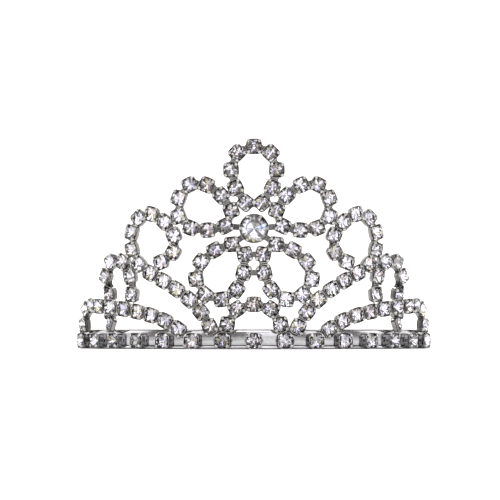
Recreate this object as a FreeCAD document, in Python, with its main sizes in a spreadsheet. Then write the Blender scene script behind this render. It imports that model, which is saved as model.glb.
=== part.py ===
import FreeCAD, Part
import math
import os
import re
import Sketcher

# A small tiara comb: an arc of polished band that carries loops of cup chain, with a hair comb behind it.
# Sizes are in millimetres. The tiara faces -Y, stands on the underside of its band at Z = 0, and its
# loops lie on one upright cylinder. A place on that cylinder is given as on flat paper: along is the
# distance round it from the middle, up the height above the band's foot, and lift how far it stands
# out from the cylinder.

Vector = FreeCAD.Vector
doc = FreeCAD.newDocument("tiara_comb")

# Driving sizes

SIZES = [
    ("arc_radius", 56.0),  # cylinder through the rims of all the small settings
    ("setting_width", 4.2),  # square cup, measured over its rim
    ("setting_foot", 3.8),  # the same cup, measured over its back
    ("setting_height", 2.0),
    ("corner_cut", 0.95),  # each corner of the cup is cut off by this much
    ("seat_width", 3.9),  # eight-sided seat for the stone, over its flats
    ("seat_floor", 0.35),  # thickness left under the point of the seat
    ("claw_rise", 0.5),
    ("claw_reach", 0.4),  # how far a claw's tip leans in over the stone
    ("stone_width", 3.6),  # over the flats of the girdle
    ("stone_table", 2.0),
    ("stone_crown", 0.75),
    ("stone_gap", 0.15),  # between a stone's point and its seat
    ("link_width", 1.7),
    ("link_thick", 0.5),
    ("link_back", 0.3),  # from the cup's back to the link
    ("link_root", 0.5),  # how far a link runs into a cup
    ("link_stub", 0.7),  # cut link left on each side of a cup of the base row
    ("stub_width", 0.9),
    ("base_count", 15),
    ("base_pitch", 9.02),
    ("base_height", 2.35),  # middle of the base row above the band's foot
    ("solder_depth", 0.1),  # how far a base cup sinks into the band
    ("piece_gap", 0.1),
    ("band_height", 5.6),
    ("band_thick", 0.8),
    ("band_reach", 66.0),  # from the middle to each end, along the band's face
    ("band_bevel", 0.2),  # all round the band's upper edge
    ("rim_height", 1.0),  # raised rim along the band's foot
    ("rim_depth", 0.3),
    ("flower_height", 33.55),  # middle of the flower above the band's foot
    ("petal_half_length", 8.4),
    ("petal_half_width", 6.2),
    ("petal_taper", 0.28),  # share by which a petal is wider towards its tip
    ("jewel_width", 7.3),  # centre stone
    ("jewel_table", 4.4),
    ("jewel_crown", 1.2),
    ("jewel_depth", 2.3),
    ("bezel_width", 8.2),  # round setting of the centre stone
    ("bezel_height", 3.0),
    ("bezel_floor", 0.5),
    ("bezel_wall", 0.25),
    ("bezel_shoulder", 1.35),  # height of the widest part above the bezel's back
    ("bezel_back", 6.6),  # width of the bezel's back
    ("prong_count", 6),
    ("prong_width", 1.0),
    ("prong_proud", 0.15),  # how far a prong stands out of the bezel
    ("prong_root", 1.6),  # how far it runs down the bezel from the rim
    ("prong_lip", 0.2),
    ("prong_rise", 0.85),
    ("prong_reach", 0.75),
    ("prong_thick", 0.25),
    ("comb_width", 50.0),
    ("comb_spine", 2.0),
    ("comb_thick", 1.2),
    ("comb_height", 1.8),  # underside of the comb above the band's foot
    ("comb_depth", 30.0),  # from the band's face to the tips
    ("tooth_width", 1.2),
    ("tooth_pitch", 3.5),
    ("tooth_count", 15),
]

sheet = doc.addObject("Spreadsheet::Sheet", "sizes")
for row, (name, value) in enumerate(SIZES, start=1):
    sheet.set(f"A{row}", name)
    sheet.set(f"B{row}", str(value))
    sheet.setAlias(f"B{row}", name)
doc.recompute()


def size(name):
    return float(sheet.get(name))


arc_radius = size("arc_radius")
back_radius = arc_radius - size("setting_height")
band_face = back_radius - size("piece_gap")
band_middle = band_face - size("band_thick") / 2

# The lengths of chain, each laid flat. Columns: along, up, lift. The curve runs through the rows.

SCROLL = [
    (27.5, 24.4, 0.0),
    (22.9, 30.0, 0.0),
    (27.0, 36.2, 0.0),
    (33.2, 38.0, 0.0),
    (38.0, 32.2, 0.0),
    (35.2, 24.1, 0.0),
    (29.9, 20.8, 0.0),
    (22.1, 16.5, 0.0),
    (15.6, 11.0, 0.0),
    (12.5, 6.3, 0.0),
]
SIDE_ARCH = [
    (37.7, 15.4, 0.0),
    (38.3, 20.3, 0.0),
    (41.6, 24.8, 0.0),
    (46.2, 24.8, 0.0),
    (48.9, 21.9, 0.0),
    (47.9, 17.2, -0.5),
    (49.3, 11.7, -1.9),
    (46.4, 7.3, 0.15),
]
LOW_SCROLL = [
    (21.9, 5.65, 0.05),
    (26.5, 8.15, 0.0),
    (36.0, 10.6, 0.0),
    (45.6, 11.9, 0.9),
    (50.9, 12.2, 1.0),
    (56.0, 12.3, 0.3),
    (59.9, 11.05, 0.0),
    (61.0, 6.85, 0.05),
]
MIDDLE_ARCH = [
    (-7.5, 6.9, 0.0),
    (-4.7, 11.2, 0.0),
    (0.0, 12.5, 0.0),
    (4.7, 11.2, 0.0),
    (7.5, 6.9, 0.0),
]

# The flower's petals. Columns: name, lean from upright in degrees, distance from the flower's middle.

PETALS = [
    ("petal_top", 0.0, 14.52),
    ("petal_upper", 68.25, 15.12),
    ("petal_lower", 142.6, 14.58),
]
PETAL_CUPS = 9
PETAL_ROWS = 24


def petal_rows(lean, distance):
    rows = []
    lean = math.radians(lean)
    for step in range(PETAL_ROWS):
        turn = 2 * math.pi * step / PETAL_ROWS
        across = size("petal_half_width") * math.sin(turn) * (1 + size("petal_taper") * math.cos(turn))
        out = distance + size("petal_half_length") * math.cos(turn)
        along = out * math.sin(lean) + across * math.cos(lean)
        up = size("flower_height") + out * math.cos(lean) - across * math.sin(lean)
        rows.append((along, up, 0.0))
    return rows


def flat_curve(rows, closed):
    curve = Part.BSplineCurve()
    curve.interpolate([Vector(*row) for row in rows], PeriodicFlag=closed)
    return curve.toShape()


def wrapped(along, up, lift):
    """A place on the flat pattern, carried onto the cylinder. The axis stands behind the origin."""
    turn = along / arc_radius
    reach = arc_radius + lift
    return Vector(reach * math.sin(turn), band_middle - reach * math.cos(turn), up)


def seat_placement(along, up, lift, heading):
    """Placement of a cup: its X runs along the chain and its Z points out of the tiara."""
    turn = along / arc_radius
    sideways = Vector(math.cos(turn), math.sin(turn), 0)
    outward = Vector(math.sin(turn), -math.cos(turn), 0)
    run = sideways * heading.x + Vector(0, 0, 1) * heading.y + outward * heading.z
    run.normalize()
    across = outward.cross(run)
    across.normalize()
    normal = run.cross(across)
    back = wrapped(along, up, lift) - normal * size("setting_height")
    turned = FreeCAD.Rotation(run, across, normal, "ZXY")
    return FreeCAD.Placement(back, turned)


def chain_places(rows, count, closed=False):
    """Evenly spaced cup placements along one length of chain."""
    path = flat_curve(rows, closed)
    spaces = count if closed else count - 1
    places = []
    for index in range(count):
        reached = min(path.Length * index / spaces, path.Length * 0.999999)
        at = path.getParameterByLength(reached)
        spot = path.valueAt(at)
        places.append(seat_placement(spot.x, spot.y, spot.z, path.tangentAt(at)))
    return places


# Patterns that repeat along the chains, built in a cup's own frame


def faceted_solid(faces):
    shell = Part.makeShell([Part.Face(Part.makePolygon(corners + corners[:1])) for corners in faces])
    solid = Part.makeSolid(shell)
    if solid.Volume < 0:
        solid.reverse()
    return solid


def cut_square(width, cut, level):
    """Eight corners of a square with its corners cut off, counted round from +X."""
    half = width / 2
    near = half - cut
    corners = [(half, near), (near, half), (-near, half), (-half, near)]
    corners += [(-half, -near), (-near, -half), (near, -half), (half, -near)]
    return [Vector(x, y, level) for x, y in corners]


def ring(width, sides, level):
    """Corners of a regular polygon given by its width over the flats, with a flat towards +X."""
    reach = width / 2 / math.cos(math.pi / sides)
    turns = [2 * math.pi * (index + 0.5) / sides for index in range(sides)]
    return [Vector(reach * math.cos(turn), reach * math.sin(turn), level) for turn in turns]


def setting_solid():
    """A square cup with cut corners, an eight-sided seat and four claws folded over the stone."""
    height = size("setting_height")
    narrowed = size("setting_foot") / size("setting_width")
    foot = cut_square(size("setting_foot"), size("corner_cut") * narrowed, 0)
    rim = cut_square(size("setting_width"), size("corner_cut"), height)
    seat = ring(size("seat_width"), 8, height)
    point = Vector(0, 0, size("seat_floor"))
    tip_reach = size("seat_width") / 2 - size("claw_reach")
    faces = [foot[::-1]]
    for index in range(8):
        after = (index + 1) % 8
        faces.append([foot[index], foot[after], rim[after], rim[index]])
        faces.append([seat[after], seat[index], point])
        edge = [rim[index], rim[after], seat[after], seat[index]]
        if index % 2:
            faces.append(edge)
            continue
        turn = math.pi / 4 * (index + 1)
        tip = Vector(tip_reach * math.cos(turn), tip_reach * math.sin(turn), height + size("claw_rise"))
        for side in range(4):
            faces.append([edge[side], edge[(side + 1) % 4], tip])
    return faceted_solid(faces)


def stone_solid():
    """A round-cut stone: a table, eight crown facets and eight below that meet in a point."""
    slope = (size("setting_height") - size("seat_floor")) / (size("seat_width") / 2)
    point_level = size("seat_floor") + size("stone_gap")
    girdle_level = point_level + slope * size("stone_width") / 2
    girdle = ring(size("stone_width"), 8, girdle_level)
    table = ring(size("stone_table"), 8, girdle_level + size("stone_crown"))
    point = Vector(0, 0, point_level)
    faces = [table]
    for index in range(8):
        after = (index + 1) % 8
        faces.append([girdle[index], girdle[after], table[after], table[index]])
        faces.append([girdle[after], girdle[index], point])
    return faceted_solid(faces)


def jewel_solid():
    """The centre stone: an eight-sided table, a crown of triangles and sixteen facets below."""
    girdle_level = size("bezel_height") + size("piece_gap")
    girdle = ring(size("jewel_width"), 16, girdle_level)
    table = ring(size("jewel_table"), 8, girdle_level + size("jewel_crown"))
    point = Vector(0, 0, girdle_level - size("jewel_depth"))
    faces = [table]
    for index in range(8):
        after = (index + 1) % 8
        first = girdle[2 * index]
        second = girdle[2 * index + 1]
        third = girdle[(2 * index + 2) % 16]
        faces.append([first, second, table[index]])
        faces.append([second, third, table[after]])
        faces.append([second, table[after], table[index]])
    for index in range(16):
        faces.append([girdle[(index + 1) % 16], girdle[index], point])
    return faceted_solid(faces)


def bar_between(start, end, width, normal):
    """A flat link along a straight line, its width square to the normal."""
    run = end - start
    length = run.Length
    run.normalize()
    across = normal.cross(run)
    across.normalize()
    corner = start - across * (width / 2)
    bar = Part.makeBox(length, width, size("link_thick"))
    bar.Placement = FreeCAD.Placement(corner, FreeCAD.Rotation(run, across, run.cross(across), "ZXY"))
    return bar


def link_between(first, second):
    """The link that joins two neighbouring cups."""
    axis = Vector(0, 0, 1)
    start = first.multVec(Vector(0, 0, size("link_back")))
    end = second.multVec(Vector(0, 0, size("link_back")))
    normal = first.Rotation.multVec(axis) + second.Rotation.multVec(axis)
    run = end - start
    run.normalize()
    inset = run * (size("setting_foot") / 2 - size("link_root"))
    return bar_between(start + inset, end - inset, size("link_width"), normal)


def stubs_of(place):
    """What is left of the cut links on both sides of a cup of the base row."""
    reach = size("setting_foot") / 2 + size("link_stub")
    root = size("setting_foot") / 2 - size("link_root")
    normal = place.Rotation.multVec(Vector(0, 0, 1))
    bars = []
    for side in (-1, 1):
        start = place.multVec(Vector(side * root, 0, size("link_back")))
        end = place.multVec(Vector(side * reach, 0, size("link_back")))
        bars.append(bar_between(start, end, size("stub_width"), normal))
    return bars


def helper(name, shape):
    thing = doc.addObject("Part::Feature", name)
    thing.Shape = shape
    return thing


setting_pattern = helper("setting_pattern", setting_solid())
stone_pattern = helper("stone_pattern", stone_solid())


def copies(pattern, places):
    shapes = []
    for place in places:
        shape = pattern.Shape.copy()
        shape.Placement = place
        shapes.append(shape)
    return shapes


# Sub-parts: every length of chain is one solid of cups and links, with its stones as a second node

sub_parts = []


def add_part(name, shape):
    thing = doc.addObject("Part::Feature", name)
    thing.Shape = shape
    thing.Label = name
    sub_parts.append(thing)
    return thing


def add_mirrored(name, source):
    thing = doc.addObject("Part::Mirroring", name)
    thing.Source = source
    thing.Base = Vector(0, 0, 0)
    thing.Normal = Vector(1, 0, 0)
    thing.Label = name
    sub_parts.append(thing)
    return thing


def add_chain(name, side, rows, count, closed=False):
    places = chain_places(rows, count, closed)
    cups = copies(setting_pattern, places)
    ends = places[1:] + places[:1] if closed else places[1:]
    links = [link_between(first, second) for first, second in zip(places, ends)]
    metal = cups[0].multiFuse(cups[1:] + links)
    chain = add_part(f"{name}_chain{side}", metal.Solids[0])
    stones = add_part(f"{name}_stones{side}", Part.makeCompound(copies(stone_pattern, places)))
    return chain, stones, len(metal.Solids)


solid_counts = {}


def add_chain_pair(name, rows, count, closed=False):
    chain, stones, solid_counts[name] = add_chain(name, "_right", rows, count, closed)
    add_mirrored(f"{name}_chain_left", chain)
    add_mirrored(f"{name}_stones_left", stones)


for petal_name, petal_lean, petal_distance in PETALS:
    petal_path = petal_rows(petal_lean, petal_distance)
    if petal_lean:
        add_chain_pair(petal_name, petal_path, PETAL_CUPS, closed=True)
    else:
        solid_counts[petal_name] = add_chain(petal_name, "", petal_path, PETAL_CUPS, closed=True)[2]

add_chain_pair("scroll", SCROLL, 15)
add_chain_pair("side_arch", SIDE_ARCH, 8)
add_chain_pair("low_scroll", LOW_SCROLL, 10)
solid_counts["middle_arch"] = add_chain("middle_arch", "", MIDDLE_ARCH, 5)[2]

for chain_name, solid_count in solid_counts.items():
    if solid_count != 1:
        raise RuntimeError(f"{chain_name}: its cups and links came out as {solid_count} solids")

# Sketches and bodies: every corner and radius is held by a formula of the sheet's aliases

FACE = "(arc_radius - setting_height - piece_gap)"
AXIS = f"({FACE} - band_thick / 2)"


def bound(formula):
    """A formula of aliases, as the other objects of the document write it."""
    return re.sub(r"[a-z_]+", lambda alias: f"sizes.{alias.group()}", formula)


def amount(formula):
    return float(sheet.evalExpression(bound(formula)))


def add_body(name):
    body = doc.addObject("PartDesign::Body", name)
    body.Label = name
    return body


def origin_item(body, role):
    return next(item for item in body.Origin.OriginFeatures if item.Role == role)


def add_sketch(body, name, plane_role):
    sketch = body.newObject("Sketcher::SketchObject", name)
    sketch.AttachmentSupport = [(origin_item(body, plane_role), "")]
    sketch.MapMode = "FlatFace"
    return sketch


def hold(sketch, formula, kind, *where):
    number = sketch.addConstraint(Sketcher.Constraint(kind, *where, amount(formula)))
    sketch.setExpression(f"Constraints[{number}]", bound(formula))


def outline(sketch, corners):
    """A closed outline of straight edges. Its corners are pairs of formulas."""
    points = [Vector(amount(x), amount(y), 0) for x, y in corners]
    count = len(corners)
    for index in range(count):
        sketch.addGeometry(Part.LineSegment(points[index], points[(index + 1) % count]))
    for index, (x, y) in enumerate(corners):
        sketch.addConstraint(Sketcher.Constraint("Coincident", index, 2, (index + 1) % count, 1))
        hold(sketch, x, "DistanceX", -1, 1, index, 1)
        hold(sketch, y, "DistanceY", -1, 1, index, 1)


def round_outline(sketch, formula):
    """A circle about the sketch's origin, its radius given as a formula."""
    index = sketch.addGeometry(Part.Circle(Vector(0, 0, 0), Vector(0, 0, 1), amount(formula)))
    sketch.addConstraint(Sketcher.Constraint("Coincident", index, 3, -1, 1))
    hold(sketch, formula, "Radius", index)


def turned(body, name, sketch, angle):
    feature = body.newObject("PartDesign::Revolution", name)
    feature.Profile = sketch
    feature.ReferenceAxis = (sketch, ["V_Axis"])
    feature.Midplane = True
    feature.setExpression("Angle", angle)
    return feature


# The band: an upright strip with a bevelled upper edge and a raised rim at its foot

band_strip = add_body("band_strip")
band_profile = add_sketch(band_strip, "band_profile", "XZ_Plane")
outline(
    band_profile,
    [
        (f"{FACE} - band_thick", "0"),
        (FACE, "0"),
        (f"{FACE} + rim_depth", "rim_depth"),
        (f"{FACE} + rim_depth", "rim_height - rim_depth"),
        (FACE, "rim_height"),
        (FACE, "band_height - band_bevel"),
        (f"{FACE} - band_bevel", "band_height"),
        (f"{FACE} - band_thick + band_bevel", "band_height"),
        (f"{FACE} - band_thick", "band_height - band_bevel"),
    ],
)
turned(band_strip, "band_turn", band_profile, "2 * " + bound(f"band_reach / {FACE}") + " * 180 / pi")
band_strip.Placement = FreeCAD.Placement(
    Vector(0, band_middle, 0), FreeCAD.Rotation(Vector(0, 0, 1), -90)
)

# The base row: cups at even spaces along the band's face, soldered to it, with the stubs of their links

base_half = int(size("base_count")) // 2
base_lift = -size("piece_gap") - size("solder_depth")
base_places = [
    seat_placement(index * size("base_pitch"), size("base_height"), base_lift, Vector(1, 0, 0))
    for index in range(-base_half, base_half + 1)
]
base_cups = []
for place, cup in zip(base_places, copies(setting_pattern, base_places)):
    base_cups.append(cup.multiFuse(stubs_of(place)).Solids[0])
base_settings = helper("base_settings", Part.makeCompound(base_cups))
band = doc.addObject("Part::Fuse", "band")
band.Base = band_strip
band.Tool = base_settings
band.Label = "band"
sub_parts.append(band)
add_part("base_row_stones", Part.makeCompound(copies(stone_pattern, base_places)))

# The round setting in the flower's middle: a bezel with prongs, and its stone

RIM = "bezel_width / 2"

jewel_place = seat_placement(0, size("flower_height"), 0, Vector(1, 0, 0))
jewel_setting = add_body("jewel_setting")
bezel_profile = add_sketch(jewel_setting, "bezel_profile", "XZ_Plane")
outline(
    bezel_profile,
    [
        ("0", "0"),
        ("bezel_back / 2", "0"),
        (RIM, "bezel_shoulder"),
        (RIM, "bezel_height"),
        (f"{RIM} - bezel_wall", "bezel_height"),
        ("0", "bezel_floor"),
    ],
)
turned(jewel_setting, "bezel", bezel_profile, "360")
prong_profile = add_sketch(jewel_setting, "prong_profile", "XZ_Plane")
outline(
    prong_profile,
    [
        (f"{RIM} + prong_proud", "bezel_height - prong_root"),
        (f"{RIM} + prong_proud", "bezel_height + prong_lip"),
        (f"{RIM} - prong_reach", "bezel_height + prong_rise"),
        (f"{RIM} - prong_reach", "bezel_height + prong_rise - prong_thick"),
        (f"{RIM} - solder_depth", "bezel_height"),
        (f"{RIM} - solder_depth", "bezel_height - prong_root"),
    ],
)
prong = jewel_setting.newObject("PartDesign::Pad", "prong")
prong.Profile = prong_profile
prong.Midplane = True
prong.setExpression("Length", "sizes.prong_width")
prongs = jewel_setting.newObject("PartDesign::PolarPattern", "prongs")
prongs.Originals = [prong]
prongs.Axis = (origin_item(jewel_setting, "Z_Axis"), [""])
prongs.Angle = 360
prongs.setExpression("Occurrences", "sizes.prong_count")
jewel_setting.Tip = prongs
jewel_setting.Placement = jewel_place
sub_parts.append(jewel_setting)

jewel_stone = add_part("jewel_stone", jewel_solid())
jewel_stone.Placement = jewel_place

# The hair comb: a curved spine inside the band, with straight parallel teeth that sweep back

SPINE_OUT = f"({FACE} - band_thick - piece_gap)"
SPINE_IN = f"({SPINE_OUT} - comb_spine)"
FIRST_TOOTH = "(-tooth_pitch * (tooth_count - 1) / 2)"
TOOTH_TIP = f"(comb_depth - {AXIS})"

comb = add_body("comb")
tooth_sketch = add_sketch(comb, "tooth_sketch", "XY_Plane")
outline(
    tooth_sketch,
    [
        (f"{FIRST_TOOTH} - tooth_width / 2", f"-{SPINE_OUT}"),
        (f"{FIRST_TOOTH} + tooth_width / 2", f"-{SPINE_OUT}"),
        (f"{FIRST_TOOTH} + tooth_width / 2", f"{TOOTH_TIP} - tooth_width"),
        (f"{FIRST_TOOTH} + tooth_width / 5", TOOTH_TIP),
        (f"{FIRST_TOOTH} - tooth_width / 5", TOOTH_TIP),
        (f"{FIRST_TOOTH} - tooth_width / 2", f"{TOOTH_TIP} - tooth_width"),
    ],
)
tooth = comb.newObject("PartDesign::Pad", "tooth")
tooth.Profile = tooth_sketch
tooth.setExpression("Length", "sizes.comb_thick")
teeth = comb.newObject("PartDesign::LinearPattern", "teeth")
teeth.Originals = [tooth]
teeth.Direction = (origin_item(comb, "X_Axis"), [""])
teeth.setExpression("Length", "sizes.tooth_pitch * (sizes.tooth_count - 1)")
teeth.setExpression("Occurrences", "sizes.tooth_count")
comb.Tip = teeth
doc.recompute()
untrimmed = teeth.Shape.Volume

trim_sketch = add_sketch(comb, "trim_sketch", "XY_Plane")
round_outline(trim_sketch, f"{SPINE_OUT} - comb_spine / 2")
round_outline(trim_sketch, f"{SPINE_OUT} + comb_width / 2")
trim = comb.newObject("PartDesign::Pocket", "trim")
trim.Profile = trim_sketch
trim.Type = "ThroughAll"
trim.Midplane = True
doc.recompute()
if trim.Shape.Volume >= untrimmed:
    raise RuntimeError("comb: its teeth weren't trimmed to the curve of the spine")

spine_sketch = add_sketch(comb, "spine_sketch", "YZ_Plane")
outline(
    spine_sketch,
    [
        (f"-{SPINE_OUT}", "0"),
        (f"-{SPINE_IN}", "0"),
        (f"-{SPINE_IN}", "comb_thick"),
        (f"-{SPINE_OUT}", "comb_thick"),
    ],
)
comb.Tip = turned(comb, "spine", spine_sketch, "2 * asin(" + bound(f"comb_width / 2 / {SPINE_OUT}") + ")")
comb.Placement = FreeCAD.Placement(Vector(0, band_middle, size("comb_height")), FreeCAD.Rotation())
sub_parts.append(comb)

doc.recompute()

# Every object has to be sound before anything is written

for thing in doc.Objects:
    if "Invalid" in thing.State or "Error" in thing.State:
        raise RuntimeError(f"{thing.Name}: {thing.State}")
for part in sub_parts:
    if part.Shape.isNull() or not part.Shape.isValid():
        raise RuntimeError(f"{part.Label}: its shape is empty or not valid")

os.makedirs("parts", exist_ok=True)
for part in sub_parts:
    part.Shape.exportStep(f"parts/{part.Label}.step")
    print(part.Label, len(part.Shape.Solids), round(part.Shape.Volume, 2))
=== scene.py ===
import math
import random

import bpy
from mathutils import Matrix, Vector


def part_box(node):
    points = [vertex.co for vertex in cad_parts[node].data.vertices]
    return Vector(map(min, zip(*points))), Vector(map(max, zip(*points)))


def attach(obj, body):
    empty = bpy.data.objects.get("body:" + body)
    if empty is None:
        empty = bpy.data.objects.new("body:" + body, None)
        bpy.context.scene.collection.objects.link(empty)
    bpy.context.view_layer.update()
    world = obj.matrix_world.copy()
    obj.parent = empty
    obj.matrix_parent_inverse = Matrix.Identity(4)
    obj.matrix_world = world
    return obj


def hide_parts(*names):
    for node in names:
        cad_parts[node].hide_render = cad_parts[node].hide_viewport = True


# A tiara comb: cup chain with cut stones, a round centre stone, a polished band and a hair comb.
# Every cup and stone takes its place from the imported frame. Lengths in the tables are in millimetres.

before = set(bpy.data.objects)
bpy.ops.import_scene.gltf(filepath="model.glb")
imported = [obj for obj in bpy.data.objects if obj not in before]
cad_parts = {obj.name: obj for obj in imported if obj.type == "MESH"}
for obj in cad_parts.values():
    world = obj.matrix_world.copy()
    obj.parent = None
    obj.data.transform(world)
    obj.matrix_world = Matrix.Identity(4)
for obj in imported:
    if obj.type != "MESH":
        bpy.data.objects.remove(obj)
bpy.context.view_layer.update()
MM = 0.001
random.seed(11)

# Sizes that the pieces share with the frame

POINT_LEVEL = 0.5  # the stone's point above the back of its cup
FOOT_WIDTH = 3.8  # of a cup, where the links leave it
LINK_LEVEL = 0.3
LINK_SECTION = (2.7, 1.0)  # width and thickness, as in the other sections
LINK_WAIST = ((0.0, 1.0), (0.40, 1.0), (0.46, 0.84), (0.54, 0.84), (0.60, 1.0), (1.0, 1.0))
STRAIGHT = ((0.0, 1.0), (1.0, 1.0))
LINK_ROOT = 0.5
LINK_STUB = 0.7  # a cut link left on each side of a cup of the base row
STUB_SECTION = (0.9, 0.5)
SOLDER_SECTION = (1.7, 1.0)  # a filled joint between two settings that meet
SOLDER_LEVEL = 0.35
CUP_SOLDER = 1.7  # where a joint starts, from the middle of a cup
BEZEL_SOLDER = 3.0  # the same for the round setting
BAND_FACE = 53.9  # radius of the band's face
BAND_REACH = 66.0  # along the arc, from the middle to each end
BAND_STEPS = 150
BAND_TRIM = 0.97  # how far the section shrinks at the band's ends
END_TURN = 0.0016  # radians over which it does so
AXIS_Y = 53.5  # the upright axis of the whole arc
JEWEL_BACK = 54.0  # radius of the arc through the back of the centre stone's setting
JEWEL_GIRDLE = 3.1  # of the centre stone, above the back of its setting
COMB_OUTER = 53.0  # radius of the outside of the spine
COMB_SPINE = 2.0
COMB_STEPS = 60
COMB_LEVEL = 1.8
COMB_THICK = 1.2
COMB_HALF = 25.0
COMB_TIP_Y = 30.0
TOOTH_PITCH = 3.5
TOOTH_COUNT = 15
TOOTH_WIDTH = 1.2
TOOTH_TAPER = [  # distance from the tip, share of the full section
    (5.0, 1.0),
    (2.0, 0.86),
    (0.7, 0.66),
    (0.15, 0.42),
    (0.0, 0.2),
]

# Profiles of one cup, in its own frame: Z out of the tiara, X along the chain

CUP_WALL = [  # width, level, corner radius, dip between the claws, painted shade and highlight from here to the next row: dark grooves, hollow and outer walls, a bright top rim
    (1.90, 0.14, 0.60, 0.00, 0.30),
    (2.10, 0.02, 0.70, 0.00, 0.85),
    (3.60, 0.00, 1.05, 0.00, 0.45),
    (3.96, 0.13, 1.10, 0.00, 0.60),
    (4.18, 1.22, 1.15, 0.00, 0.25),
    (4.04, 1.29, 1.10, 0.00, 0.12),
    (4.04, 1.40, 1.10, 0.04, 0.25),
    (4.44, 1.48, 1.20, 0.06, 0.46),
    (4.54, 1.78, 1.20, 0.10, 0.42),
    (4.46, 1.93, 1.20, 0.12, 1.00),
    (4.30, 1.95, 1.40, 0.12, 0.35),
    (4.10, 1.84, 1.75, 0.10, 0.15),
    (3.96, 1.60, 1.96, 0.00, 0.12),
    (1.20, 0.42, 0.60, 0.00, 0.12),
]
CLAW = [  # reach from the middle, level, half width, painted shade and highlight from here to the next row, brightest where the claw bends over the stone
    (2.52, 0.95, 0.36, 0.50),
    (2.66, 1.45, 0.46, 0.55),
    (2.68, 1.92, 0.50, 0.60),
    (2.54, 2.22, 0.48, 0.85),
    (2.26, 2.43, 0.42, 1.00),
    (1.94, 2.52, 0.34, 0.90),
    (1.74, 2.48, 0.24, 0.50),
]
CLAW_THICK = 0.24

# Cuts of the two kinds of stone: radii and levels over the girdle

SMALL_CUT = {
    "sides": 9,
    "girdle": 2.00,
    "table": 1.06,
    "star": 1.52,
    "crown": 0.75,
    "star_level": 0.47,
    "depth": 1.52,
}
LARGE_CUT = {
    "sides": 12,
    "girdle": 3.80,
    "table": 2.30,
    "star": 3.06,
    "crown": 1.20,
    "star_level": 0.72,
    "depth": 2.30,
}
GIRDLE_HALF = 0.04
LOWER_REACH = 0.52  # where the lower facets meet, as a share of the girdle's radius

# The round setting of the centre stone

BEZEL = [  # radius, level, painted shade and highlight from here to the next row: a bright rim and ledge, a dark hollow under the stone
    (0.00, 0.00, 0.80),
    (3.15, 0.00, 0.60),
    (3.32, 0.12, 0.75),
    (4.04, 1.30, 0.30),
    (4.10, 1.42, 0.85),
    (4.14, 1.90, 0.30),
    (4.04, 1.97, 0.12),
    (4.04, 2.08, 0.30),
    (4.16, 2.15, 0.50),
    (4.20, 2.90, 0.55),
    (4.12, 3.00, 0.95),
    (4.00, 2.98, 0.30),
    (3.92, 2.80, 0.15),
    (0.60, 0.60, 0.12),
    (0.00, 0.55, 0.12),
]
PRONG = [  # reach, level, half width, painted shade and highlight from here to the next row, brightest where the prong bends over the stone
    (4.16, 1.40, 0.36, 0.50),
    (4.25, 1.90, 0.44, 0.60),
    (4.25, 3.00, 0.46, 0.80),
    (4.14, 3.35, 0.44, 0.95),
    (3.85, 3.62, 0.38, 1.00),
    (3.50, 3.80, 0.32, 0.90),
    (3.34, 3.80, 0.22, 0.60),
]
PRONG_THICK = 0.26
PRONG_COUNT = 6
BEZEL_STEPS = 64


class Form:
    """Faces gathered for one mesh: each face has a material number and a tint, which carries the painted
    shade and highlights of the metal and the painted glints of the stones.
    """

    def __init__(self):
        self.points = []
        self.faces = []
        self.kinds = []
        self.tints = []

    def loft(self, rings, shades=None, around=None):
        """Skins rings of equally many points and caps both ends, with painted shade along the rings, or
        round them where around is given.
        """
        size = len(rings[0])
        count = len(rings)
        start = len(self.points)
        self.points += [point for ring in rings for point in ring]
        shades = shades or [0.9] * count
        for ring in range(count - 1):
            low = start + ring * size
            high = low + size
            for step in range(size):
                after = (step + 1) % size
                shade = around[after] if around else shades[ring]
                self.face([low + step, low + after, high + after, high + step], shade)
        self.face([start + step for step in range(size)][::-1], shades[0])
        self.face([start + (count - 1) * size + step for step in range(size)], shades[-1])

    def face(self, corners, shade, kind=0):
        self.faces.append(corners)
        self.kinds.append(kind)
        self.tints.append(shade if isinstance(shade, tuple) else (shade, shade, shade))

    def stamp(self, other, place, tint_of=None):
        """Adds a copy of another form, moved to a place."""
        start = len(self.points)
        self.points += [place @ point for point in other.points]
        for face, kind, tint in zip(other.faces, other.kinds, other.tints):
            self.faces.append([start + corner for corner in face])
            self.kinds.append(kind)
            self.tints.append(tint_of(kind, tint) if tint_of else tint)

    def build(self, name, materials, smooth_angle=None):
        mesh = bpy.data.meshes.new(name)
        mesh.from_pydata([point * MM for point in self.points], [], self.faces)
        for material in materials:
            mesh.materials.append(material)
        mesh.polygons.foreach_set("material_index", self.kinds)
        colours = mesh.color_attributes.new("tint", "FLOAT_COLOR", "CORNER")
        values = []
        for face, tint in zip(self.faces, self.tints):
            values += [*tint, 1] * len(face)
        colours.data.foreach_set("color", values)
        mesh.update()
        if smooth_angle:
            mesh.shade_smooth()
            mesh.set_sharp_from_angle(angle=math.radians(smooth_angle))
        piece = bpy.data.objects.new(name, mesh)
        bpy.context.scene.collection.objects.link(piece)
        return piece


# Places read from the frame


def loose_parts(node):
    """The corners of each loose solid of a node, in the order in which they were made, in millimetres."""
    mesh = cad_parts[node].data
    keys = [tuple(round(value / MM, 3) for value in vertex.co) for vertex in mesh.vertices]
    parent = {}

    def root(key):
        while parent[key] != key:
            parent[key] = parent[parent[key]]
            key = parent[key]
        return key

    for key in keys:
        parent.setdefault(key, key)
    for face in mesh.polygons:
        first = root(keys[face.vertices[0]])
        for corner in face.vertices:
            parent[root(keys[corner])] = first
    parts = {}
    for key in dict.fromkeys(keys):
        parts.setdefault(root(key), []).append(Vector(key))
    return list(parts.values())


def middle(points):
    return sum(points, Vector()) / len(points)


def read_stone(corners):
    """Girdle, point and outward direction of an eight-sided stone, told apart by their distances."""
    centre = middle(corners)
    ranked = sorted(corners, key=lambda corner: (corner - centre).length, reverse=True)
    girdle, point, table = ranked[:8], ranked[8], ranked[9:]
    return girdle, point, (middle(table) - point).normalized()


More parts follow.
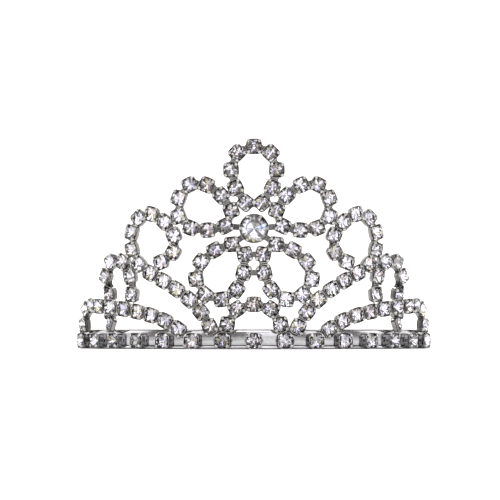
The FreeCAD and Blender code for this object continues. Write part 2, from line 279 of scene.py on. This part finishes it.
def flat_nearest(girdle, heading):
    """The direction square to a side of the girdle that lies nearest to a heading."""
    centre = middle(girdle)
    side = min((a - b).length for a in girdle for b in girdle if a is not b)
    flats = [
        ((a + b) / 2 - centre).normalized()
        for index, a in enumerate(girdle)
        for b in girdle[:index]
        if (a - b).length < side * 1.2
    ]
    return max(flats, key=lambda flat: flat.dot(heading))


def chain_seats(node, ring):
    """Places of the cups of one length of chain, in order."""
    stones = [read_stone(corners) for corners in loose_parts(node)]
    centres = [middle(girdle) for girdle, point, outward in stones]
    count = len(stones)
    headings = []
    for index in range(count):
        if ring or 0 < index < count - 1:
            headings.append(centres[(index + 1) % count] - centres[index - 1])
        else:
            headings.append(None)
    if not ring:
        first = centres[1] - centres[0]
        last = centres[-1] - centres[-2]
        headings[0] = 2 * first.normalized() - headings[1].normalized()
        headings[-1] = 2 * last.normalized() - headings[-2].normalized()
    seats = []
    for (girdle, point, outward), heading in zip(stones, headings):
        along = flat_nearest(girdle, heading)
        along = (along - outward * along.dot(outward)).normalized()
        across = outward.cross(along)
        back = point - outward * POINT_LEVEL
        turned = Matrix((along, across, outward)).transposed().to_4x4()
        seats.append(Matrix.Translation(back) @ turned)
    return seats


# Small shapes


def turn(degrees):
    return Matrix.Rotation(math.radians(degrees), 4, "Z")


def rounded_square(width, level, radius, dip, steps=5):
    """A square with round corners, counted round from the first corner."""
    half = width / 2 - radius
    points = []
    for quarter in range(4):
        centre = Vector((half, half, 0))
        for step in range(steps):
            angle = math.pi / 2 * step / (steps - 1)
            spot = centre + Vector((math.cos(angle), math.sin(angle), 0)) * radius
            spot = turn(90 * quarter) @ spot
            around = math.atan2(spot.y, spot.x)
            spot.z = level - dip * (1 + math.cos(4 * around)) / 2
            points.append(spot)
    return points


def claw_form(path, thick, bearing):
    """A flat claw that bends over the stone, in the upright plane at a bearing."""
    rings = []
    for index, (reach, level, half, shade) in enumerate(path):
        before = path[max(index - 1, 0)]
        after = path[min(index + 1, len(path) - 1)]
        run = Vector((after[0] - before[0], 0, after[1] - before[1])).normalized()
        inward = Vector((-run.z, 0, run.x))
        outer = Vector((reach, 0, level))
        section = [
            (-0.7 * half, 0.0),
            (0.7 * half, 0.0),
            (half, 0.35 * thick),
            (half, thick),
            (-half, thick),
            (-half, 0.35 * thick),
        ]
        rings.append([outer + Vector((0, side, 0)) + inward * deep for side, deep in section])
    form = Form()
    form.loft(rings, [row[3] for row in path])
    turned = Form()
    turned.stamp(form, turn(bearing))
    return turned


def cup_form():
    form = Form()
    form.loft([rounded_square(*row[:4]) for row in CUP_WALL], [row[4] for row in CUP_WALL])
    for corner in range(4):
        form.stamp(claw_form(CLAW, CLAW_THICK, 45 + 90 * corner), Matrix.Identity(4))
    return form


def circle(radius, level, count, shift=0.0):
    turns = [2 * math.pi * (index + shift) / count for index in range(count)]
    return [Vector((radius * math.cos(angle), radius * math.sin(angle), level)) for angle in turns]


CROWN = 0
PAVILION = 1
MAIN = 1.0
LOWER = 0.5


def stone_form(cut):
    """A brilliant: table, stars, kites and girdle facets above, mains and lower facets below.

    Each pavilion facet keeps its kind and its place round the stone for its painted glint or painted dark
    reflection.
    """
    sides = cut["sides"]
    form = Form()
    table = circle(cut["table"], cut["crown"], sides)
    stars = circle(cut["star"], cut["star_level"], sides, 0.5)
    upper = circle(cut["girdle"], GIRDLE_HALF, 2 * sides)
    lower = circle(cut["girdle"], -GIRDLE_HALF, 2 * sides)
    valley = -cut["depth"] * (1 - LOWER_REACH) - 0.03
    lows = circle(cut["girdle"] * LOWER_REACH, valley, sides, 0.5)
    form.points = table + stars + upper + lower + lows + [Vector((0, 0, -cut["depth"]))]
    star, up, down, low, tip = sides, 2 * sides, 4 * sides, 6 * sides, 7 * sides
    form.face(list(range(sides)), 1.0, CROWN)
    for index in range(sides):
        after = (index + 1) % sides
        before = (index - 1) % sides
        main = 2 * index
        half = main + 1
        beyond = (main + 2) % (2 * sides)
        for corners in (
            [index, star + index, after],
            [index, star + before, up + main, star + index],
            [star + index, up + main, up + half],
            [star + index, up + half, up + beyond],
            [up + main, down + main, down + half, up + half],
            [up + half, down + half, down + beyond, up + beyond],
        ):
            form.face(corners, 1.0, CROWN)
        turn_share = index / sides
        form.face([tip, low + index, down + main, low + before], (MAIN, turn_share, 0), PAVILION)
        form.face([low + index, down + half, down + main], (LOWER, turn_share, 0), PAVILION)
        form.face([low + index, down + beyond, down + half], (LOWER, turn_share, 1), PAVILION)
    return form


def bar_form(start, end, normal, section, waist=STRAIGHT):
    """A flat bar with rounded edges between two points."""
    run = (end - start).normalized()
    across = normal.cross(run).normalized()
    rise = run.cross(across)
    half, thick = section[0] / 2, section[1] / 2
    soft = 0.35 * thick
    profile = [
        (half, -thick + soft),
        (half, thick - soft),
        (half - soft, thick),
        (-half + soft, thick),
        (-half, thick - soft),
        (-half, -thick + soft),
        (-half + soft, -thick),
        (half - soft, -thick),
    ]
    lift = rise * thick
    rings = []
    for share, width in waist:
        spot = start.lerp(end, share) + lift
        rings.append([spot + across * side * width + rise * up * width for side, up in profile])
    form = Form()
    # Painted shade along the bar, darker than the plating and darkest in the waist of a link.
    form.loft(rings, [0.30, 0.55, 0.12, 0.55, 0.30, 0.30][: len(rings)])
    return form


def link_form(first, second):
    start = first @ Vector((0, 0, LINK_LEVEL))
    end = second @ Vector((0, 0, LINK_LEVEL))
    normal = (first.col[2] + second.col[2]).to_3d()
    inset = (end - start).normalized() * (FOOT_WIDTH / 2 - LINK_ROOT)
    return bar_form(start + inset, end - inset, normal, LINK_SECTION, LINK_WAIST)


def solder_form(first, second, first_reach, second_reach):
    """A joint between two settings, from inside the wall of one to inside the wall of the other."""
    start = first @ Vector((0, 0, SOLDER_LEVEL))
    end = second @ Vector((0, 0, SOLDER_LEVEL))
    run = (end - start).normalized()
    normal = (first.col[2] + second.col[2]).to_3d()
    return bar_form(start + run * first_reach, end - run * second_reach, normal, SOLDER_SECTION)


def distance(first, second):
    return (first.translation - second.translation).length


# Finishes


def new_material(name):
    material = bpy.data.materials.new(name)
    material.use_nodes = True
    nodes = material.node_tree.nodes
    nodes.clear()
    output = nodes.new("ShaderNodeOutputMaterial")
    shader = nodes.new("ShaderNodeBsdfPrincipled")
    material.node_tree.links.new(shader.outputs["BSDF"], output.inputs["Surface"])
    return material, shader


def wired(material, kind, links=None, **settings):
    """Adds a node, sets its properties and links other sockets into it."""
    node = material.node_tree.nodes.new(kind)
    for key, value in settings.items():
        setattr(node, key, value)
    for key, socket in (links or {}).items():
        material.node_tree.links.new(socket, node.inputs[key])
    return node


def place_texture(material, scale, stretch=(1, 1, 1)):
    spot = wired(material, "ShaderNodeTexCoord").outputs["Object"]
    spread = wired(material, "ShaderNodeMapping", {"Vector": spot})
    spread.inputs["Scale"].default_value = stretch
    noise = wired(material, "ShaderNodeTexNoise", {"Vector": spread.outputs["Vector"]})
    noise.inputs["Scale"].default_value = scale
    noise.inputs["Detail"].default_value = 4
    return noise.outputs["Fac"]


def ramp(material, source, *stops):
    """Maps a value onto colours. stops are pairs of place and colour."""
    node = wired(material, "ShaderNodeValToRGB", {"Fac": source})
    elements = node.color_ramp.elements
    while len(elements) < len(stops):
        elements.new(0.5)
    for element, (position, colour) in zip(elements, stops):
        element.position = position
        element.color = (*colour, 1)
    return node.outputs["Color"]


def value_range(material, source, low, high):
    node = wired(material, "ShaderNodeMapRange", {"Value": source})
    node.inputs["To Min"].default_value = low
    node.inputs["To Max"].default_value = high
    return node.outputs["Result"]


EDGE_TINT = (0.45, 0.44, 0.42)


def metal(name, light, dark, smooth, rough, stretch, bump):
    """Plating that drifts in colour and gloss, finely scratched, multiplied by the tint attribute:
    painted shade in its grooves and hollows, painted highlights on its rims.
    """
    material, shader = new_material(name)
    drift = place_texture(material, 420)
    grain = place_texture(material, 2600, stretch)
    link = material.node_tree.links.new
    plate = ramp(material, drift, (0.3, dark), (0.7, light))
    # The tint attribute carries each face's painted shade and highlight.
    shade = wired(material, "ShaderNodeAttribute", attribute_name="tint").outputs["Color"]
    blend = wired(material, "ShaderNodeMix", data_type="RGBA", blend_type="MULTIPLY")
    blend.inputs["Factor"].default_value = 1.0
    link(plate, blend.inputs[6])
    link(shade, blend.inputs[7])
    link(blend.outputs[2], shader.inputs["Base Color"])
    link(value_range(material, grain, smooth, rough), shader.inputs["Roughness"])
    relief = wired(material, "ShaderNodeBump", {"Height": grain})
    relief.inputs["Strength"].default_value = bump
    relief.inputs["Distance"].default_value = 0.00002
    link(relief.outputs["Normal"], shader.inputs["Normal"])
    shader.inputs["Metallic"].default_value = 1.0
    shader.inputs["Specular Tint"].default_value = (*EDGE_TINT, 1)
    return material


def crystal(name, index):
    """Clear cut glass with faint smears on its facets."""
    material, shader = new_material(name)
    tint = wired(material, "ShaderNodeAttribute", attribute_name="tint")
    smear = place_texture(material, 700)
    link = material.node_tree.links.new
    link(tint.outputs["Color"], shader.inputs["Base Color"])
    link(value_range(material, smear, 0.0, 0.03), shader.inputs["Roughness"])
    shader.inputs["Transmission Weight"].default_value = 1.0
    shader.inputs["IOR"].default_value = index
    return material


def foil(name, smooth, rough):
    """The silvered back of a stone, each facet with its own tint: painted glints and painted dark
    reflections.
    """
    material, shader = new_material(name)
    tint = wired(material, "ShaderNodeAttribute", attribute_name="tint")
    cloud = place_texture(material, 900)
    link = material.node_tree.links.new
    link(tint.outputs["Color"], shader.inputs["Base Color"])
    link(value_range(material, cloud, smooth, rough), shader.inputs["Roughness"])
    shader.inputs["Metallic"].default_value = 1.0
    return material


setting_metal = metal(
    "setting_plate", (0.62, 0.61, 0.60), (0.44, 0.43, 0.41), 0.12, 0.32, (1, 1, 0.25), 0.35
)
band_metal = metal(
    "band_plate", (0.74, 0.73, 0.75), (0.60, 0.59, 0.60), 0.05, 0.16, (0.2, 0.2, 1.6), 0.15
)
comb_metal = metal(
    "comb_plate", (0.66, 0.65, 0.65), (0.52, 0.51, 0.50), 0.12, 0.26, (1, 0.2, 1), 0.3
)
STONE_LOOK = [crystal("crystal_glass", 1.4), foil("crystal_foil", 0.02, 0.06)]
JEWEL_LOOK = [crystal("jewel_glass", 1.42), foil("jewel_foil", 0.10, 0.18)]

MAIN_TINTS = [  # painted glints and painted dark reflections of the main facets: share of the facets, colour
    (0.50, (0.97, 0.96, 1.00)),
    (0.20, (0.80, 0.79, 0.92)),
    (0.19, (0.42, 0.41, 0.40)),
    (0.06, (0.66, 0.62, 0.46)),
    (0.05, (0.92, 0.82, 0.84)),
]
LOWER_TINTS = [  # painted glints and painted dark reflections of the lower facets, the same columns
    (0.42, (0.12, 0.11, 0.10)),
    (0.20, (0.46, 0.44, 0.41)),
    (0.28, (0.99, 0.98, 1.00)),
    (0.05, (0.55, 0.50, 0.32)),
    (0.05, (0.62, 0.50, 0.50)),
]


def facet_tint(kind, mark):
    if kind == CROWN:
        shade = random.uniform(0.93, 1.0)
        return (shade, shade, min(1.0, shade + 0.01))
    # A pavilion facet draws a painted glint or a painted dark reflection from the tables.
    draw = random.random()
    for share, colour in MAIN_TINTS if mark[0] == MAIN else LOWER_TINTS:
        if draw < share:
            break
        draw -= share
    shade = random.uniform(0.9, 1.0)
    return tuple(channel * shade for channel in colour)


def finish_piece(piece, slot, *nodes):
    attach(piece, "root")
    if nodes:
        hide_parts(*nodes)
    return piece


# The lengths of chain

CUP = cup_form()
SMALL_STONE = stone_form(SMALL_CUT)
GIRDLE_LEVEL = 2.02  # of a small stone, above the back of its cup


def stones_piece(name, seats, *nodes):
    form = Form()
    for seat in seats:
        tilt = Matrix.Rotation(math.radians(random.uniform(-3, 3)), 4, "X")
        tilt = tilt @ Matrix.Rotation(math.radians(random.uniform(-3, 3)), 4, "Y")
        place = seat @ Matrix.Translation((0, 0, GIRDLE_LEVEL)) @ turn(random.uniform(0, 45)) @ tilt
        form.stamp(SMALL_STONE, place, facet_tint)
    return finish_piece(form.build(name, STONE_LOOK), "crystal", *nodes)


def chain_piece(name, seats, ring, *nodes):
    form = Form()
    for seat in seats:
        form.stamp(CUP, seat)
    ends = seats[1:] + (seats[:1] if ring else [])
    for first, second in zip(seats, ends):
        form.stamp(link_form(first, second), Matrix.Identity(4))
    return finish_piece(form.build(name, [setting_metal], 38), "setting_metal", *nodes)


SIDES = ("_right", "_left")
CHAINS = [  # name, sides, whether it closes on itself
    ("petal_top", ("",), True),
    ("petal_upper", SIDES, True),
    ("petal_lower", SIDES, True),
    ("scroll", SIDES, False),
    ("side_arch", SIDES, False),
    ("low_scroll", SIDES, False),
    ("middle_arch", ("",), False),
]
places = {}
for chain_name, sides, ring in CHAINS:
    for side in sides:
        chain_node = f"{chain_name}_chain{side}"
        stones_node = f"{chain_name}_stones{side}"
        seats = chain_seats(stones_node, ring)
        places[chain_name + side] = seats
        chain_piece(f"{chain_name}_cups{side}", seats, ring, chain_node)
        stones_piece(f"{chain_name}_crystals{side}", seats, stones_node)

# The band with the base row


def on_arc(radius, angle, level):
    return Vector((radius * math.sin(angle), AXIS_Y - radius * math.cos(angle), level))


BAND_PROFILE = [  # outwards from the band's face, level, painted shade and highlight of the step that ends here: a painted highlight on the foot bead between dark lines, dark lines at the top edge, a lower face darker than the upper
    (-0.72, 0.00, 0.40),
    (-0.10, 0.00, 0.35),
    (0.14, 0.05, 0.35),
    (0.26, 0.20, 0.90),
    (0.30, 0.45, 1.00),
    (0.26, 0.76, 0.60),
    (0.12, 0.95, 0.24),
    (-0.02, 1.02, 0.20),
    (-0.02, 1.15, 0.55),
    (-0.01, 1.60, 0.70),
    (0.00, 2.10, 0.78),
    (0.00, 2.60, 0.80),
    (0.00, 3.10, 0.76),
    (0.00, 3.60, 0.86),
    (-0.01, 4.10, 0.92),
    (-0.03, 4.60, 0.92),
    (-0.08, 5.05, 0.85),
    (-0.24, 5.34, 0.35),
    (-0.36, 5.52, 0.30),
    (-0.50, 5.58, 0.35),
    (-0.66, 5.50, 0.60),
    (-0.78, 5.32, 0.70),
    (-0.80, 0.15, 0.60),
]


def swept_arc(outline, reach, steps, trim):
    """The outline turned about the arc's axis from -reach to +reach, its ends softened."""
    total = Vector((sum(row[0] for row in outline), sum(row[1] for row in outline)))
    centre = total / len(outline)
    inner = 2 * reach - 2 * END_TURN
    stations = [(-reach, trim)]
    stations += [(-reach + END_TURN + inner * step / steps, 1.0) for step in range(steps + 1)]
    stations.append((reach, trim))
    rings = []
    for angle, share in stations:
        ring = []
        for x, z, shade in outline:
            across = centre.x + (x - centre.x) * share
            up = centre.y + (z - centre.y) * share
            ring.append(on_arc(BAND_FACE + across, angle, up))
        rings.append(ring[::-1])
    form = Form()
    # The painted shade and highlight of the profile run round the band.
    form.loft(rings, [0.5] * len(rings), [row[2] for row in outline][::-1])
    return form


band_form = swept_arc(BAND_PROFILE, BAND_REACH / BAND_FACE, BAND_STEPS, BAND_TRIM)
base_seats = chain_seats("base_row_stones", False)
for seat in base_seats:
    band_form.stamp(CUP, seat)
    for side in (-1, 1):
        start = seat @ Vector((side * (FOOT_WIDTH / 2 - LINK_ROOT), 0, LINK_LEVEL))
        end = seat @ Vector((side * (FOOT_WIDTH / 2 + LINK_STUB), 0, LINK_LEVEL))
        stub = bar_form(start, end, seat.col[2].to_3d(), STUB_SECTION)
        band_form.stamp(stub, Matrix.Identity(4))
band_piece = band_form.build("band", [band_metal], 30)
finish_piece(band_piece, "band_metal", "band")
stones_piece("base_row_crystals", base_seats, "base_row_stones")

# The centre stone and its round setting

jewel_low, jewel_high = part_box("jewel_stone")
jewel_centre = (jewel_low + jewel_high) / 2 / MM
jewel_seat = Matrix.Translation(on_arc(JEWEL_BACK, 0, jewel_centre.z))
jewel_seat = jewel_seat @ Matrix.Rotation(math.radians(90), 4, "X")

bezel_form = Form()
bezel_rings = [circle(max(radius, 0.01), level, BEZEL_STEPS) for radius, level, shade in BEZEL]
bezel_form.loft(bezel_rings, [row[2] for row in BEZEL])
for index in range(PRONG_COUNT):
    prong = claw_form(PRONG, PRONG_THICK, 360 / PRONG_COUNT * index)
    bezel_form.stamp(prong, Matrix.Identity(4))
placed_bezel = Form()
placed_bezel.stamp(bezel_form, jewel_seat)
for petal in ("petal_upper_right", "petal_upper_left", "petal_lower_right", "petal_lower_left"):
    nearest = min(places[petal], key=lambda seat: distance(seat, jewel_seat))
    joint = solder_form(jewel_seat, nearest, BEZEL_SOLDER, CUP_SOLDER)
    placed_bezel.stamp(joint, Matrix.Identity(4))
pairs = [(a, b) for a in places["petal_lower_right"] for b in places["petal_lower_left"]]
pairs.sort(key=lambda pair: distance(*pair))
for first, second in pairs[:2]:
    placed_bezel.stamp(solder_form(first, second, CUP_SOLDER, CUP_SOLDER), Matrix.Identity(4))
bezel_piece = placed_bezel.build("jewel_setting_round", [setting_metal], 35)
finish_piece(bezel_piece, "setting_metal", "jewel_setting")

GLINTS = [  # painted glints and painted dark reflections of the centre stone's pavilion by sector: main facet, then its two lower facets
    ((0.58, 0.66, 0.95), (0.97, 0.97, 1.00), (0.22, 0.24, 0.34)),
    ((0.36, 0.35, 0.36), (0.14, 0.13, 0.12), (0.97, 0.97, 1.00)),
    ((0.30, 0.29, 0.28), (0.12, 0.11, 0.10), (0.80, 0.80, 0.86)),
    ((0.40, 0.39, 0.38), (0.97, 0.97, 1.00), (0.14, 0.13, 0.12)),
    ((0.92, 0.92, 1.00), (0.97, 0.97, 1.00), (0.14, 0.13, 0.12)),
    ((0.84, 0.84, 1.00), (0.20, 0.19, 0.18), (0.97, 0.97, 1.00)),
    ((0.86, 0.86, 1.00), (0.97, 0.97, 1.00), (0.30, 0.28, 0.26)),
    ((0.90, 0.90, 1.00), (0.58, 0.54, 0.32), (0.52, 0.48, 0.28)),
    ((0.84, 0.84, 1.00), (0.62, 0.58, 0.34), (0.95, 0.92, 0.66)),
    ((0.97, 0.97, 1.00), (0.97, 0.94, 0.76), (0.97, 0.96, 1.00)),
    ((0.50, 0.49, 0.52), (0.50, 0.48, 0.46), (0.98, 0.92, 0.92)),
    ((0.84, 0.82, 0.92), (0.40, 0.38, 0.37), (0.98, 0.92, 0.92)),
]


def jewel_tint(kind, mark):
    if kind == CROWN:
        return (0.98, 0.98, 1.0)
    cut_kind, turn_share, second = mark
    sector = GLINTS[int(turn_share * len(GLINTS))]
    return sector[0] if cut_kind == MAIN else sector[1 + second]


jewel_form = Form()
jewel_place = jewel_seat @ Matrix.Translation((0, 0, JEWEL_GIRDLE)) @ turn(9)
jewel_form.stamp(stone_form(LARGE_CUT), jewel_place, jewel_tint)
jewel_piece = jewel_form.build("jewel_crystal", JEWEL_LOOK)
finish_piece(jewel_piece, "crystal", "jewel_stone")

# The hair comb


def rounded_bar(width, height, soft):
    half = width / 2
    tall = height / 2
    return [
        (half, -tall + soft),
        (half, tall - soft),
        (half - soft, tall),
        (-half + soft, tall),
        (-half, tall - soft),
        (-half, -tall + soft),
        (-half + soft, -tall),
        (half - soft, -tall),
    ]


def comb_form():
    middle_level = COMB_LEVEL + COMB_THICK / 2
    spine_middle = COMB_OUTER - COMB_SPINE / 2
    half_turn = math.asin(COMB_HALF / COMB_OUTER)
    form = Form()
    rings = []
    for step in range(COMB_STEPS + 1):
        angle = half_turn * (2 * step / COMB_STEPS - 1)
        near_end = min(step, COMB_STEPS - step)
        soft = (0.7, 0.9, 1.0)[min(near_end, 2)]
        section = rounded_bar(COMB_SPINE * soft, COMB_THICK * soft, 0.3 * soft)
        rings.append([on_arc(spine_middle + x, angle, middle_level + z) for x, z in section][::-1])
    form.loft(rings)
    for index in range(TOOTH_COUNT):
        x = TOOTH_PITCH * (index - (TOOTH_COUNT - 1) / 2)
        start = AXIS_Y - math.sqrt(spine_middle ** 2 - x ** 2)
        rings = []
        for y, share in [(start, 1.0)] + [(COMB_TIP_Y - back, share) for back, share in TOOTH_TAPER]:
            section = rounded_bar(TOOTH_WIDTH * share, COMB_THICK * 0.92 * share, 0.34 * share)
            rings.append([Vector((x + side, y, middle_level + up)) for side, up in section][::-1])
        form.loft(rings)
    return form


finish_piece(comb_form().build("hair_comb", [comb_metal], 40), "comb_metal", "comb")

# Camera: level with the band, in front of it. Lengths are in millimetres, and angles in degrees

CAMERA_BACK = 702.5
CAMERA_LEVEL = 4.8
CAMERA_SIDE = -1.1
CAMERA_PITCH = 1.864
FRAME_WIDTH = 138.9  # what the picture spans at the front of the tiara
FRONT_DISTANCE = 700.0
SENSOR_WIDTH = 36.0

camera_data = bpy.data.cameras.new("camera")
camera_data.sensor_width = SENSOR_WIDTH
camera_data.lens = SENSOR_WIDTH * FRONT_DISTANCE / FRAME_WIDTH
camera_data.clip_start = 0.01
camera_data.clip_end = 20
camera = bpy.data.objects.new("camera", camera_data)
camera.location = Vector((CAMERA_SIDE, -CAMERA_BACK, CAMERA_LEVEL)) * MM
camera.rotation_euler = (math.radians(90 + CAMERA_PITCH), 0, 0)
bpy.context.scene.collection.objects.link(camera)
bpy.context.scene.camera = camera

# Floor and backdrop: one pale, round sheet


def stage_material(name, colour):
    material, shader = new_material(name)
    paper = place_texture(material, 60)
    light = tuple(min(1.0, channel * 1.01) for channel in colour)
    material.node_tree.links.new(
        ramp(material, paper, (0.3, colour), (0.7, light)), shader.inputs["Base Color"]
    )
    shader.inputs["Roughness"].default_value = 0.9
    return material


FLOOR_RADIUS = 1300.0
WALL_BEND = 350.0
WALL_HEIGHT = 1300.0
DISH_STEPS = 72
BEND_STEPS = 10
OPEN_SECTOR = (200, 340)  # degrees in which the floor stays flat, towards the lights in front


def sweep():
    """A round floor that curves up into a backdrop at the back and sides."""
    curve = []
    for step in range(1, BEND_STEPS + 1):
        angle = math.pi / 2 * step / BEND_STEPS
        curve.append((FLOOR_RADIUS + WALL_BEND * math.sin(angle), WALL_BEND * (1 - math.cos(angle))))
    curve.append((FLOOR_RADIUS + WALL_BEND, WALL_HEIGHT))
    profile = [(FLOOR_RADIUS, 0.0)] + curve
    form = Form()
    for step in range(DISH_STEPS):
        degrees = 360 * step / DISH_STEPS
        flat = OPEN_SECTOR[0] <= degrees <= OPEN_SECTOR[1]
        heading = turn(degrees) @ Vector((1, 0, 0))
        for radius, level in profile:
            form.points.append(heading * radius + Vector((0, 0, 0 if flat else level)))
    size = len(profile)
    form.face([step * size for step in range(DISH_STEPS)], 1.0)
    for step in range(DISH_STEPS):
        after = (step + 1) % DISH_STEPS
        for row in range(size - 1):
            here = step * size + row
            there = after * size + row
            form.face([here, here + 1, there + 1, there], 1.0)
    piece = form.build("floor_sweep", [stage_material("pale_paper", (0.93, 0.93, 0.93))], 60)


sweep()

# Soft studio light

LIGHTS = [  # name, place in mm, aim in mm, size in mm, watts, colour
    ("front_top", (0, -640, 500), (0, 0, 25), (900, 440), 2.2, (0.97, 0.96, 1.0)),
    ("front_left", (-600, -600, 250), (0, 0, 25), (360, 440), 0.62, (1.0, 0.98, 0.96)),
    ("front_right", (600, -600, 250), (0, 0, 25), (360, 440), 0.62, (0.97, 0.96, 1.0)),
    ("front_low", (130, -1100, 160), (0, 0, 90), (420, 300), 0.50, (0.95, 0.95, 1.0)),
    ("right", (700, -40, 280), (0, 10, 25), (260, 420), 0.28, (1, 1, 1)),
    ("left", (-700, -40, 280), (0, 10, 25), (260, 420), 0.28, (1, 1, 1)),
    ("top", (0, 60, 850), (0, 20, 0), (1200, 1000), 6.0, (1, 1, 1)),
    ("back", (0, 700, 1250), (0, 1500, 250), (1600, 400), 32.0, (1, 1, 1)),
]
for light_name, place, aim, spread, watts, colour in LIGHTS:
    light_data = bpy.data.lights.new(light_name, "AREA")
    light_data.shape = "RECTANGLE"
    light_data.size, light_data.size_y = (side * MM for side in spread)
    light_data.energy = watts
    light_data.color = colour
    light = bpy.data.objects.new(light_name, light_data)
    light.location = Vector(place) * MM
    light.rotation_euler = (Vector(aim) - Vector(place)).to_track_quat("-Z", "Y").to_euler()
    bpy.context.scene.collection.objects.link(light)

world = bpy.data.worlds.new("studio")
world.use_nodes = True
background = world.node_tree.nodes["Background"]
background.inputs["Color"].default_value = (1.0, 0.98, 0.95, 1)
background.inputs["Strength"].default_value = 0.26
bpy.context.scene.world = world
bpy.context.scene.view_settings.view_transform = "Standard"
